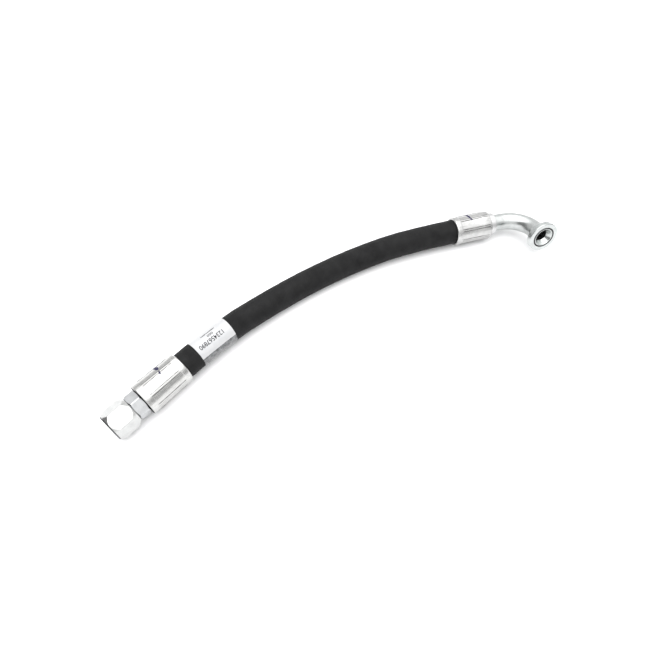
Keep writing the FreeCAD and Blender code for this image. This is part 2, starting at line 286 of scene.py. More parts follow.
def mottled(tree, surface, sizes, low, high, rough, spread=(0.3, 0.7)):
    # the mottle, a colour that wanders from low to high, and a roughness that wanders between two values
    mottle = useGroup(tree, platingMottle, surface=surface, patchSize=sizes[0], speckSize=sizes[1])
    shade = remap(tree, mottle["Patches"], *spread, 0.0, 1.0)
    return mottle, mixColour(tree, shade, low, high), remap(tree, mottle["Specks"], 0.3, 0.7, *rough)


def scaled(numbers, share):
    return tuple(number * share for number in numbers)


def finishShader(tree, shader, base, roughness, height, depth):
    feed(tree, shader, "Base Color", base)
    feed(tree, shader, "Roughness", roughness)
    bump = addNode(tree, "ShaderNodeBump", {"Strength": 1.0, "Distance": depth, "Height": height})
    feed(tree, shader, "Normal", bump.outputs[0])


def zincMaterial(name, colour, rough, lines=0.0, streaks=0.0, surfaceFrom="own", dabs=(), dieClock=None):
    material, tree, shader, surface = startMaterial(name, 1.0, surfaceFrom=surfaceFrom)
    dark = scaled(colour, zincLook["shade"])
    mottle, base, roughness = mottled(tree, surface, (0.006, 0.0005), dark, colour,
                                      (rough * 0.8, rough * 1.2))
    height = times(tree, mottle["Specks"], 0.15)
    if lines:
        turned = useGroup(tree, toolLines, surface=surface, linePitch=0.0005)
        height = plus(tree, height, times(tree, turned["Height"], lines))
    if streaks:
        drawn = useGroup(tree, dieStreaks, surface=surface, streakWidth=0.0007, streakLength=0.03)
        height = plus(tree, height, times(tree, drawn["Height"], streaks))
        # the streaks' colour is painted reflection: darker lines along the real drag marks, which the bump
        # carries
        streakReflectionColour = scaled(colour, zincLook["streakReflectionShade"])
        base = mixColour(tree, times(tree, drawn["Mask"], 0.8), base, streakReflectionColour)
    if dieClock is not None:
        pressed = useGroup(tree, dieLines, surface=surface, clock=dieClock, **dieMarks)
        uneven = remap(tree, mottle["Patches"], 0.35, 0.6, 0.5, 1.0)
        # painted shade down both flanks of each die line, uneven along them
        dieFlankShadeColour = scaled(colour, zincLook["dieFlankShade"])
        base = mixColour(tree, times(tree, pressed["Mask"], uneven), base, dieFlankShadeColour)
    if dabs:
        masks = [useGroup(tree, paintDab, surface=surface, **dab)["Mask"] for dab in dabs]
        painted = masks[0]
        for mask in masks[1:]:
            painted = math2(tree, "MAXIMUM", painted, mask)
        base = mixColour(tree, painted, base, paintLook["colour"])
        roughness = remap(tree, painted, 0.0, 1.0, roughness, paintLook["rough"])
        feed(tree, shader, "Metallic", minus(tree, 1.0, painted))
        height = plus(tree, height, times(tree, painted, 0.8))
    finishShader(tree, shader, base, roughness, height, 0.00008)
    return material


paintLook = {"colour": (0.004, 0.002, 0.035), "rough": 0.7}

# inspection marks: place along the ferrule's outline and round it, in metres on its surface, and
# the turn from the outline's direction
markKeys = ("along", "round", "halfLength", "halfWidth", "lean", "bow")
nutEndDabs = [dict(zip(markKeys, mark)) for mark in (
    (0.0239, -0.0109, 0.0050, 0.0022, math.pi / 2 + 0.10, 0.2),
    (0.0249, -0.0012, 0.0024, 0.0009, math.pi / 2 - 0.25, 0.0))]
flangeEndDabs = [dict(zip(markKeys, (0.0228, 0.0060, 0.0094, 0.0015, math.pi / 2 + 0.06, 0.8)))]

coverLook = {
    "dark": (0.0045, 0.0045, 0.0048), "light": (0.0115, 0.0115, 0.0118), "rough": (0.55, 0.8),
    "specular": 0.15, "threadPitch": 0.0011, "lean": 0.25,
}


def coverRubberMaterial():
    look = coverLook
    material, tree, shader, surface = startMaterial("coverRubber", 0.0, specular=look["specular"])
    mottle, base, roughness = mottled(tree, surface, (0.014, 0.0012), look["dark"], look["light"],
                                      look["rough"])
    cloth = useGroup(tree, clothImprint, surface=surface, threadPitch=look["threadPitch"], lean=look["lean"])
    height = plus(tree, cloth["Height"], times(tree, mottle["Specks"], 0.9))
    finishShader(tree, shader, base, roughness, height, 0.00012)
    return material


def innerMaterial(name, colour, rough, metallic=0.0, strands=0.0):
    # for the layers inside the hose and the small hidden pieces, which keep their CAD mesh
    material, tree, shader, surface = startMaterial(name, metallic, surfaceFrom="object")
    mottle, base, roughness = mottled(tree, surface, (0.004, 0.0006), scaled(colour, 0.7), colour,
                                      (rough * 0.85, rough * 1.15), spread=(0.0, 1.0))
    height = mottle["Specks"]
    if strands:
        wound = useGroup(tree, clothImprint, surface=surface, threadPitch=strands, lean=0.9)
        height = plus(tree, height, wound["Height"])
    finishShader(tree, shader, base, roughness, height, 0.0001)
    return material


def filmMaterial(name, low, high, rough, coat, ripple):
    material, tree, shader, surface = startMaterial(name, 0.0)
    mottle, base, roughness = mottled(tree, surface, (0.005, 0.0008), low, high, (rough * 0.8, rough * 1.2))
    shader.inputs["Coat Weight"].default_value = coat
    shader.inputs["Coat Roughness"].default_value = 0.12
    finishShader(tree, shader, base, roughness, mottle["Patches"], ripple)
    return material


# the ferrule's sizes that its material shares with its shape
ferruleR = 0.0185
ferruleDies = 8
ferruleClockDeg = {"nut": -143.0, "flange": -137.0}
dieMarks = {"spacing": math.tau * ferruleR / ferruleDies, "halfWidth": 0.00135, "soft": 0.00100,
            "start": 0.0085, "end": 0.0480}


def ferruleMaterial(name, colour, dabs, end):
    clock = ferruleR * math.radians(ferruleClockDeg[end])
    return zincMaterial(name, colour, 0.26, streaks=0.9, dabs=dabs, dieClock=clock)


materials = {
    "cover": coverRubberMaterial(),
    "ferruleNut": ferruleMaterial("zincFerruleNutEnd", zincLook["ferruleNutColour"], nutEndDabs, "nut"),
    "ferruleFlange": ferruleMaterial("zincFerruleFlangeEnd", zincLook["ferruleFlangeColour"], flangeEndDabs,
                                     "flange"),
    # painted shade: a near-black zinc for the faces in the narrow gap between the nut-end ferrule and the
    # hexagon
    "gap": zincMaterial("paintedGapShade", zincLook["gapShadeColour"], 0.55, lines=0.3),
    "fitting": zincMaterial("zincFitting", zincLook["fittingColour"], 0.32, lines=0.5),
    "nut": zincMaterial("zincNut", zincLook["nutColour"], 0.26, lines=0.2),
    # painted shade: a near-black zinc for the nut's front rim
    "nutRimShade": zincMaterial("zincNutRimShade", zincLook["rimShadeColour"], 0.40, lines=0.3),
    "thread": zincMaterial("zincThread", zincLook["nutColour"], 0.30, surfaceFrom="object"),
    "tube": zincMaterial("zincTube", zincLook["tubeColour"], 0.27),
    "flange": zincMaterial("zincFlange", zincLook["flangeColour"], 0.25, lines=0.7),
    "collar": zincMaterial("zincCollar", zincLook["collarColour"], 0.30, lines=0.5),
    "braze": zincMaterial("zincBraze", zincLook["brazeColour"], 0.38),
    "film": filmMaterial("labelFilm", (0.39, 0.395, 0.405), (0.43, 0.43, 0.435), 0.5, 0.3, 0.00003),
    "ink": filmMaterial("labelInk", (0.004, 0.004, 0.006), (0.008, 0.008, 0.012), 0.7, 0.0, 0.00001),
    "clearFilm": filmMaterial("clearFilm", (0.015, 0.016, 0.017), (0.15, 0.153, 0.157), 0.30, 0.5, 0.0006),
    "seal": innerMaterial("sealRubber", (0.012, 0.012, 0.013), 0.45),
    "tubeRubber": innerMaterial("tubeRubber", (0.02, 0.02, 0.02), 0.55),
    "insulationRubber": innerMaterial("insulationRubber", (0.03, 0.03, 0.032), 0.6),
    "wire": innerMaterial("wireSteel", (0.62, 0.55, 0.42), 0.3, metallic=1.0, strands=0.0007),
    "springWire": innerMaterial("springWire", (0.55, 0.55, 0.56), 0.3, metallic=1.0),
}
print("materials: %d" % len(materials))

# mesh helpers


def pointOutwards(mesh, merge=0.0):
    work = bmesh.new()
    work.from_mesh(mesh)
    if merge:
        bmesh.ops.remove_doubles(work, verts=work.verts, dist=merge)
    bmesh.ops.recalc_face_normals(work, faces=work.faces)
    work.to_mesh(mesh)
    work.free()


def meshFromCurve(curve):
    holder = addObject(curve.name, curve)
    bpy.context.view_layer.update()
    mesh = bpy.data.meshes.new_from_object(holder)
    bpy.data.objects.remove(holder)
    bpy.data.curves.remove(curve)
    return mesh


def finishMesh(name, verts, faces, uvs, material, smoothDeg=38.0):
    mesh = bpy.data.meshes.new(name)
    mesh.from_pydata(verts, [], faces)
    layer = mesh.uv_layers.new(name="surface")
    layer.data.foreach_set("uv", [number for uv in uvs for number in uv])
    pointOutwards(mesh)
    mesh.polygons.foreach_set("use_smooth", [True] * len(mesh.polygons))
    mesh.set_sharp_from_angle(angle=math.radians(smoothDeg))
    mesh.materials.append(material)
    mesh.update()
    return addObject(name, mesh)


# A closed skin over a loop of rings. Each ring goes once round, and the last ring meets the
# first. alongs and rounds place the rings and their points on the flat surface map.
def skin(name, rings, alongs, rounds, material):
    count = len(rings[0])
    verts = [point for ring in rings for point in ring]
    faces, uvs = [], []
    for i in range(len(rings)):
        k = (i + 1) % len(rings)
        for j in range(count):
            n = (j + 1) % count
            faces.append((i * count + j, i * count + n, k * count + n, k * count + j))
            uvs += [(alongs[i], rounds[j]), (alongs[i], rounds[j + 1]),
                    (alongs[i + 1], rounds[j + 1]), (alongs[i + 1], rounds[j])]
    return finishMesh(name, verts, faces, uvs, material)


# A closed outline with each corner (x, radius, round) eased by a short curve and a point
# either side of it that keeps the flats flat.
def eased(corners):
    points = []
    for i, (x, r, cut) in enumerate(corners):
        here = Vector((x, r))
        if cut <= 0.0:
            points.append(here)
            continue
        before = Vector(corners[i - 1][:2]) - here
        after = Vector(corners[(i + 1) % len(corners)][:2]) - here
        reaches = [min(cut, 0.36 * leg.length) for leg in (before, after)]
        a, b = (here + leg.normalized() * reach for leg, reach in zip((before, after), reaches))
        points.append(here + before.normalized() * min(reaches[0] * 1.7, 0.45 * before.length))
        for t in (0.0, 0.25, 0.5, 0.75, 1.0):
            points.append(a * (1 - t) ** 2 + here * (2 * t * (1 - t)) + b * t ** 2)
        points.append(here + after.normalized() * min(reaches[1] * 1.7, 0.45 * after.length))
    return points


# A piece turned or milled about a fitting's X. outlineAt gives the eased outline in one direction.
def latheSkin(name, outlineAt, angles, place, radius, material):
    columns = [outlineAt(angle) for angle in angles]
    rings = []
    for i in range(len(columns[0])):
        rings.append([place @ Vector((column[i].x, column[i].y * math.sin(a), column[i].y * math.cos(a)))
                      for a, column in zip(angles, columns)])
    alongs = [0.0]
    outline = columns[0]
    for i in range(len(outline)):
        alongs.append(alongs[-1] + (outline[(i + 1) % len(outline)] - outline[i]).length)
    rounds = [radius * a for a in angles] + [radius * (angles[0] + math.tau)]
    return skin(name, rings, alongs, rounds, material)


def evenAngles(count):
    return [math.tau * i / count for i in range(count)]


def turnedPiece(name, corners, place, material, count=144):
    outline = eased(corners)
    radius = max(point.y for point in outline)
    return latheSkin(name, lambda angle: outline, evenAngles(count), place, radius, material)


def hexAngles(clock):
    # close together near each corner, wide on the flats
    steps = (0.0, 0.6, 1.2, 1.8, 2.5, 3.4, 5.0, 8.0, 12.0, 16.0, 20.0, 25.0)
    offsets = sorted([-s for s in steps[1:]] + list(steps) + [30.0])
    return [math.radians(clock + 60.0 * side + offset) for side in range(6) for offset in offsets]


def hexRadius(angle, clock, acrossFlats, cornerRound):
    # a hexagon with its corners rounded to cornerRound
    turn = (math.degrees(angle) - clock + 30.0) % 60.0 - 30.0
    phi = math.radians(abs(turn))
    centre = acrossFlats / math.sqrt(3.0) - cornerRound / math.sin(math.radians(60.0))
    tangentAt = math.atan2(cornerRound * 0.5, centre + cornerRound * math.cos(math.radians(30.0)))
    if phi < tangentAt:
        return centre * math.cos(phi) + math.sqrt(cornerRound ** 2 - (centre * math.sin(phi)) ** 2)
    return acrossFlats / 2.0 / math.cos(math.radians(30.0) - phi)


def ease(value):
    value = min(max(value, 0.0), 1.0)
    return value * value * (3.0 - 2.0 * value)


# Gives the faces whose middle passes the test, in a fitting's own x and radius, another material.
def finishFaces(piece, place, material, test):
    mesh = piece.data
    mesh.materials.append(material)
    back = place.inverted()
    for face in mesh.polygons:
        middle = back @ face.center
        if test(middle.x / mm, math.hypot(middle.y, middle.z) / mm):
            face.material_index = len(mesh.materials) - 1


# hose: its line is a smooth spline on the same points as the CAD tube, moved a little

hose = {
    "route": [(-0.20697, -0.09613, 0.0192), (-0.1534, -0.0341, 0.0193), (-0.1003, 0.0117, 0.0160),
              (-0.0504, 0.0478, 0.0155), (0.0083, 0.0824, 0.0155), (0.0750, 0.1103, 0.0185),
              (0.15988, 0.13348, 0.0185)],
    "insideFerrule": 0.028, "nutHeadingDeg": 229.0, "flangeHeadingDeg": 15.5, "length": 0.470,
    "radius": 0.0155, "coverInside": 0.01434, "steps": 120, "around": 96,
    "wrapPitch": 0.023, "wrapStep": 0.00016, "wrapSoft": 0.0016, "unevenness": 0.00010,
}


def readRoute(points, steps):
    curve = bpy.data.curves.new("hoseRoute", "CURVE")
    curve.dimensions = "3D"
    spline = curve.splines.new("NURBS")
    spline.points.add(len(points) - 1)
    for point, place in zip(spline.points, points):
        point.co = (*place, 1.0)
    spline.order_u = 3
    spline.use_endpoint_u = True
    spline.resolution_u = steps
    mesh = meshFromCurve(curve)
    line = [vertex.co.copy() for vertex in mesh.vertices]
    bpy.data.meshes.remove(mesh)
    return line


# Place, sideways and upward direction at each point of a line, and the distance along it.
def lineFrames(line, up):
    frames = []
    passed = 0.0
    for i, here in enumerate(line):
        ahead = (line[min(i + 1, len(line) - 1)] - line[max(i - 1, 0)]).normalized()
        side = ahead.cross(up).normalized()
        if i:
            passed += (here - line[i - 1]).length
        frames.append((here, side, side.cross(ahead), passed))
    return frames


def aroundLine(frames, i, radius, angle):
    here, side, up, _passed = frames[i]
    return here + side * (radius * math.cos(angle)) + up * (radius * math.sin(angle))


# A pipe along a line: outer wall out and bore back, so that the walls close at both ends.
def pipeSkin(name, frames, outerAt, inner, around, material, boreStride=12):
    angles = evenAngles(around)
    rings, alongs = [], []
    for i, (_here, _side, _up, passed) in enumerate(frames):
        rings.append([aroundLine(frames, i, outerAt(passed, a), a) for a in angles])
        alongs.append(passed)
    back = list(range(len(frames) - 1, 0, -boreStride)) + [0]
    for i in back:
        rings.append([aroundLine(frames, i, inner, a) for a in angles])
        alongs.append(alongs[-1] + 0.001)
    alongs.append(alongs[-1] + 0.001)
    radius = outerAt(0.0, 0.0)
    return skin(name, rings, alongs, [radius * a for a in angles] + [radius * math.tau], material)


def coverRadius(passed, angle):
    # each turn of the wrapping tape laps the one before it, and leaves a low step
    turn = (passed / hose["wrapPitch"] + angle / math.tau) % 1.0
    past = turn * hose["wrapPitch"]
    step = hose["wrapStep"] * (ease(past / hose["wrapSoft"]) - turn)
    uneven = noise.noise(Vector((passed * 60.0, math.cos(angle) * 1.3, math.sin(angle) * 1.3)))
    return hose["radius"] - hose["wrapStep"] * 0.5 + step + hose["unevenness"] * uneven


hoseFrames = lineFrames(readRoute(hose["route"], hose["steps"]), Vector((0.0, 0.0, 1.0)))
hoseCover = pipeSkin("hoseCover", hoseFrames, coverRadius, hose["coverInside"], hose["around"],
                     materials["cover"])
print("hose: line %.1f mm, %d rings" % (hoseFrames[-1][3] / mm, len(hoseFrames)))

# where each fitting stands


def axes(origin, x, z):
    y = z.cross(x)
    columns = [(*x, 0.0), (*y, 0.0), (*z, 0.0), (*origin, 1.0)]
    return Matrix(columns).transposed()


def fittingPlace(end, headingDeg):
    out = Vector((math.cos(math.radians(headingDeg)), math.sin(math.radians(headingDeg)), 0.0))
    return axes(Vector(end) - out * hose["insideFerrule"], out, Vector((0.0, 0.0, 1.0)))


nutEnd = fittingPlace(hose["route"][0], hose["nutHeadingDeg"])
flangeEnd = fittingPlace(hose["route"][-1], hose["flangeHeadingDeg"])
flangeSeat = mounts["flange_clamp_seat"]

# label

label = {
    "start": 0.0190, "length": 0.0468, "gap": 0.00003, "thickness": 0.00018, "printedDeg": (24.0, 206.0),
    "clearDeg": (-96.0, 23.4), "columns": 66, "rowDeg": 2.5,
}


# A thin closed shell from two grids of equal size, outer first.
def shellSkin(name, outer, inner, uvGrid, material):
    rows, columns = len(outer), len(outer[0])
    size = rows * columns
    verts = [p for row in outer for p in row] + [p for row in inner for p in row]
    flat = [uv for row in uvGrid for uv in row] * 2
    faces = []
    for i in range(rows - 1):
        for j in range(columns - 1):
            a, b = i * columns + j, (i + 1) * columns + j
            faces.append((a, a + 1, b + 1, b))
            faces.append((size + a, size + b, size + b + 1, size + a + 1))
    rim = [i * columns for i in range(rows)] + [(rows - 1) * columns + j for j in range(1, columns)]
    rim += [i * columns + columns - 1 for i in range(rows - 2, -1, -1)] + list(range(columns - 2, 0, -1))
    for a, b in zip(rim, rim[1:] + rim[:1]):
        faces.append((a, b, size + b, size + a))
    uvs = [flat[v] for face in faces for v in face]
    return finishMesh(name, verts, faces, uvs, material)


def hosePoint(along, radius, angle):
    # a point on the hose, along measured from the nut-end ferrule's mouth
    wanted = along + hose["insideFerrule"]
    i = min(range(len(hoseFrames)), key=lambda k: abs(hoseFrames[k][3] - wanted))
    low = i if hoseFrames[i][3] <= wanted else i - 1
    share = (wanted - hoseFrames[low][3]) / (hoseFrames[low + 1][3] - hoseFrames[low][3])
    before, after = (aroundLine(hoseFrames, k, radius, angle) for k in (low, low + 1))
    return before.lerp(after, share)


def wrapSheet(name, degrees, thickness, material):
    low, high = degrees
    rows = max(2, round((high - low) / label["rowDeg"]))
    outer, inner, uvs = [], [], []
    for i in range(label["columns"] + 1):
        along = label["start"] + label["length"] * i / label["columns"]
        turns = [math.radians(low + (high - low) * j / rows) for j in range(rows + 1)]
        base = hose["radius"] + label["gap"]
        outer.append([hosePoint(along, base + thickness, a) for a in turns])
        inner.append([hosePoint(along, base, a) for a in turns])
        uvs.append([(along, a * base) for a in turns])
    return shellSkin(name, outer, inner, uvs, material)


hoseLabel = wrapSheet("hoseLabel", label["printedDeg"], label["thickness"], materials["film"])
labelClearWrap = wrapSheet("labelClearWrap", label["clearDeg"], label["thickness"] * 0.8,
                           materials["clearFilm"])

# generic digits and a line of small marks, printed so that they read towards the nut end
printing = {
    "large": {"words": "1234567890", "centre": 0.0394, "angleDeg": 68.0, "height": 0.0056, "width": 0.0325},
    "small": {"words": "000", "centre": 0.0423, "angleDeg": 91.0, "height": 0.0030, "width": 0.0076},
    "marks": {"centre": 0.0418, "angleDeg": 106.0, "count": 17, "pitch": 0.0011, "height": 0.0014, "seed": 7},
    "inkThickness": 0.00002, "cut": 0.0006, "bold": 0.015,
}


def bendOnLabel(mesh, centre, angleDeg):
    # flat x runs back along the hose, flat y down towards the clear strip
    base = hose["radius"] + label["gap"] + label["thickness"]
    for vertex in mesh.vertices:
        x, y, z = vertex.co
        vertex.co = hosePoint(centre - x, base + z, math.radians(angleDeg) - y / base)


def printedWords(words, centre, angleDeg, height, width):
    data = bpy.data.curves.new("words", "FONT")
    data.body = words
    data.align_x = "CENTER"
    data.align_y = "CENTER"
    data.extrude = printing["inkThickness"]
    data.offset = printing["bold"]
    data.resolution_u = 3
    mesh = meshFromCurve(data)
    xs = [v.co.x for v in mesh.vertices]
    ys = [v.co.y for v in mesh.vertices]
    middle = Vector(((max(xs) + min(xs)) / 2, (max(ys) + min(ys)) / 2, 0.0))
    scale = Vector((width / (max(xs) - min(xs)), height / (max(ys) - min(ys)), 1.0))
    work = bmesh.new()
    work.from_mesh(mesh)
    for vertex in work.verts:
        vertex.co = Vector(c * s for c, s in zip(vertex.co - middle, scale))
    bmesh.ops.remove_doubles(work, verts=work.verts, dist=1e-7)
    cuts = math.ceil(height / printing["cut"])
    for i in range(1, cuts):
        y = -height / 2 + height * i / cuts
        bmesh.ops.bisect_plane(work, geom=work.verts[:] + work.edges[:] + work.faces[:], dist=1e-8,
                               plane_co=(0, y, 0), plane_no=(0, 1, 0))
    work.to_mesh(mesh)
    work.free()
    bendOnLabel(mesh, centre, angleDeg)
    return mesh


def shapeGroup(name, sockets):
    return openGroup(name, "GeometryNodeTree", sockets, {"Geometry": "Geometry"})


def closeShape(tree, out, shape, material):
    real = addNode(tree, "GeometryNodeRealizeInstances", (shape.outputs[0],))
    covered = addNode(tree, "GeometryNodeSetMaterial", {"Geometry": real.outputs[0], "Material": material})
    feed(tree, out, 0, covered.outputs[0])
    return tree


def smallMarksTree():
    tree, given, out = shapeGroup("smallMarks", {
        "Count": "Int", "Pitch": "Float", "Height": "Float", "Thickness": "Float", "Seed": "Int",
        "Ink": "Material"})
    step = addNode(tree, "ShaderNodeCombineXYZ", (given["Pitch"],))
    row = addNode(tree, "GeometryNodeMeshLine", {"Count": given["Count"], "Offset": step.outputs[0]})
    size = addNode(tree, "ShaderNodeCombineXYZ", (given["Pitch"], given["Height"], given["Thickness"]))
    mark = addNode(tree, "GeometryNodeMeshCube", {"Size": size.outputs[0], "Vertices Y": 3})
    width = addNode(tree, "FunctionNodeRandomValue", {0: (0.55, 0.8, 1.0), 1: (0.95, 1.0, 1.0),
                                                      "Seed": given["Seed"]}, data_type="FLOAT_VECTOR")
    placed = addNode(tree, "GeometryNodeInstanceOnPoints", {
        "Points": row.outputs[0], "Instance": mark.outputs[0], "Scale": width.outputs[0]})
    return closeShape(tree, out, placed, given["Ink"])


def meshFromTree(name, tree, values):
    holder = addObject(name, bpy.data.meshes.new(name))
    modifier = holder.modifiers.new(name, "NODES")
    modifier.node_group = tree
    for item in tree.interface.items_tree:
        if item.in_out == "INPUT":
            modifier[item.identifier] = values[item.name]
    graph = bpy.context.evaluated_depsgraph_get()
    mesh = bpy.data.meshes.new_from_object(holder.evaluated_get(graph), depsgraph=graph)
    bpy.data.objects.remove(holder)
    return mesh


def makePrint():
    marks = printing["marks"]
    smallMesh = meshFromTree("smallMarks", smallMarksTree(), {
        "Count": marks["count"], "Pitch": marks["pitch"], "Height": marks["height"],
        "Thickness": 2 * printing["inkThickness"], "Seed": marks["seed"], "Ink": materials["ink"]})
    smallMesh.transform(Matrix.Translation((-marks["pitch"] * (marks["count"] - 1) / 2, 0.0, 0.0)))
    bendOnLabel(smallMesh, marks["centre"], marks["angleDeg"])
    meshes = [printedWords(**printing["large"]), printedWords(**printing["small"]), smallMesh]
    work = bmesh.new()
    for mesh in meshes:
        work.from_mesh(mesh)
        bpy.data.meshes.remove(mesh)
    bmesh.ops.recalc_face_normals(work, faces=work.faces)
    whole = bpy.data.meshes.new("labelPrint")
    work.to_mesh(whole)
    work.free()
    layer = whole.uv_layers.active or whole.uv_layers.new(name="surface")
    layer.name = "surface"
    for loop in whole.loops:
        place = whole.vertices[loop.vertex_index].co
        layer.data[loop.index].uv = (place.x, place.y)
    whole.materials.clear()
    whole.materials.append(materials["ink"])
    whole.polygons.foreach_set("material_index", [0] * len(whole.polygons))
    return addObject("labelPrint", whole)


labelPrint = makePrint()
print("label: film, clear strip and print")

# ferrules

ferrule = {
    "boreR": 0.0157, "lipR": 0.0121, "lipStart": 0.0466, "crimpIn": 0.0062, "crimpRamp": 0.0014,
    "dies": ferruleDies, "ridgeHalf": 0.00100, "ridgeFlank": 0.00045, "ridgeHeight": 0.00042,
    "teeth": 5, "firstTooth": 0.005, "toothPitch": 0.007, "toothDepth": 0.0009, "toothWidth": 0.0024,
}
nutFerrule = {
    "start": 0.0008, "end": 0.0538, "mouthR": 0.0182, "endR": 0.0192, "mouthRound": 0.0016,
    "endRound": 0.0009, "crimpEnd": 0.0462, "crimpDrop": 0.0003, "clockDeg": ferruleClockDeg["nut"],
}
flangeFerrule = {
    "start": 0.0013, "end": 0.0500, "mouthR": 0.0184, "endR": 0.0185, "mouthRound": 0.0016,
    "endRound": 0.0022, "crimpEnd": 0.0385, "crimpDrop": 0.0005, "clockDeg": ferruleClockDeg["flange"],
}


def ferruleAngles(clock):
    steps = (0.0, 0.4, 0.7, 0.85, 0.95, 1.05, 1.15, 1.25, 1.4, 1.9, 2.8)     # mm either side of a ridge
    near = [math.degrees(s * mm / ferruleR) for s in steps]
    half = 180.0 / ferrule["dies"]
    near += [near[-1] + (half - near[-1]) * t for t in (0.25, 0.5, 0.75)]
    offsets = sorted([-d for d in near[1:]] + near + [half])
    middles = [clock + 2 * half * die for die in range(ferrule["dies"])]
    return [math.radians(middle + offset) for middle in middles for offset in offsets]


def ridgeAt(angle, clock):
    # raised line where two dies meet, a little different at each
    spacing = 360.0 / ferrule["dies"]
    turn = (math.degrees(angle) - clock) / spacing
    away = abs(turn - round(turn)) * math.radians(spacing) * ferruleR
    chance = random.Random(round(turn) % ferrule["dies"])
    height = ferrule["ridgeHeight"] * chance.uniform(0.75, 1.1)
    return height * ease((ferrule["ridgeHalf"] + ferrule["ridgeFlank"] - away) / ferrule["ridgeFlank"])


def ferruleOutline(angle, size):
    f = ferrule
    taper = (size["endR"] - size["mouthR"]) / (size["end"] - size["start"])
    points = [(size["start"], f["boreR"] + 0.0003)]
    for i in range(7):      # rounded rim at the mouth
        a = math.radians(15.0 * i)
        points.append((size["start"] + size["mouthRound"] * (1 - math.cos(a)),
                       size["mouthR"] - size["mouthRound"] * (1 - math.sin(a))))
    crimpStart = size["start"] + f["crimpIn"]
    pressed = ridgeAt(angle, size["clockDeg"]) - size["crimpDrop"]
    for x0, x1, into in ((crimpStart, crimpStart + f["crimpRamp"], True),
                         (size["crimpEnd"] - f["crimpRamp"], size["crimpEnd"], False)):
        for t in (0.0, 0.15, 0.35, 0.5, 0.65, 0.85, 1.0):
            x = x0 + (x1 - x0) * t
            share = ease(t) if into else 1.0 - ease(t)
            points.append((x, size["mouthR"] + taper * (x - size["start"]) + pressed * share))
    for i in range(7):
        a = math.radians(15.0 * i)
        points.append((size["end"] - size["endRound"] * (1 - math.sin(a)),
                       size["endR"] - size["endRound"] * (1 - math.cos(a))))
    points += [(size["end"], f["lipR"] + 0.0006), (size["end"] - 0.0003, f["lipR"]),
               (f["lipStart"], f["lipR"]), (f["lipStart"], f["boreR"])]
    for i in range(f["teeth"] - 1, -1, -1):
        x = f["firstTooth"] + f["toothPitch"] * i
        points += [(x + f["toothWidth"], f["boreR"]), (x + f["toothWidth"], f["boreR"] + f["toothDepth"]),
                   (x, f["boreR"] + f["toothDepth"]), (x, f["boreR"])]
    points.append((size["start"] + 0.0003, f["boreR"]))
    return [Vector(point) for point in points]


def makeFerrule(name, place, size, material):
    return latheSkin(name, lambda angle: ferruleOutline(angle, size), ferruleAngles(size["clockDeg"]), place,
                     ferruleR, material)


ferruleNutEnd = makeFerrule("ferruleNutEnd", nutEnd, nutFerrule, materials["ferruleNut"])
ferruleFlangeEnd = makeFerrule("ferruleFlangeEnd", flangeEnd, flangeFerrule, materials["ferruleFlange"])
ferruleEndShade = {"from": 53.6, "r": 18.2}     # mm, painted shade on the outer end of the nut-end ferrule
finishFaces(ferruleNutEnd, nutEnd, materials["gap"],
            lambda x, r: x > ferruleEndShade["from"] and r < ferruleEndShade["r"])
print("ferrules")

# inserts

stem = {
    "boreR": 7.75, "r": 9.45, "tip": 7.0, "tipDrop": 0.8, "tipLength": 1.5, "firstBarb": 3.0, "barbs": 5,
    "barbPitch": 6.5, "barbDepth": 0.55, "barbLand": 2.0,
    "shoulderR": 14.5, "shoulderStart": 43.4, "shoulderEnd": 46.4, "grooveR": 12.0,
}
nutInsert = {
    "acrossFlats": 27.0, "start": 54.4, "end": 66.9, "chamfer": 1.0, "clockDeg": 13.3, "cornerRound": 0.7,
    "neckR": 10.7, "noseStart": 75.0, "noseR": 11.9, "noseEnd": 80.5, "seatDeg": 37.0, "seatMouthR": 11.2,
    "grooveAt": 71.0, "grooveHalf": 0.97, "grooveDepth": 0.82,
}
collar = {"start": 50.6, "end": 57.5, "r": 14.6, "chamfer": 0.8, "socketR": 11.04, "socketStart": 52.4}


def inMetres(corners):
    return [tuple(number * mm for number in corner) for corner in corners]


def stemCorners():
    s = stem
    corners = [(s["tip"], s["boreR"], 0.0), (s["tip"], s["r"] - s["tipDrop"], 0.1),
               (s["tip"] + s["tipLength"], s["r"], 0.1)]
    for i in range(s["barbs"]):
        x = s["tip"] + s["firstBarb"] + s["barbPitch"] * i
        corners += [(x, s["r"], 0.0), (x, s["r"] - s["barbDepth"], 0.0),
                    (x + s["barbPitch"] - s["barbLand"], s["r"], 0.0)]
    return corners + [(s["shoulderStart"], s["r"], 0.0), (s["shoulderStart"], s["shoulderR"], 0.2),
                      (s["shoulderEnd"], s["shoulderR"], 0.2), (s["shoulderEnd"], s["grooveR"], 0.2)]


def hexCorners(size, angle, endR, edge):
    # where the end cones meet the flats in this direction, so that the chamfers curve as on a real hexagon
    start, end, flats = size["start"], size["end"], size["acrossFlats"]
    r = hexRadius(angle, size["clockDeg"], flats, size["cornerRound"])
    back = max(r - endR, 0.02) * size["chamfer"] / (flats / math.sqrt(3.0) - endR)
    return [(start, endR, edge), (start + back, r, edge), (end - back, r, edge), (end, endR, edge)]


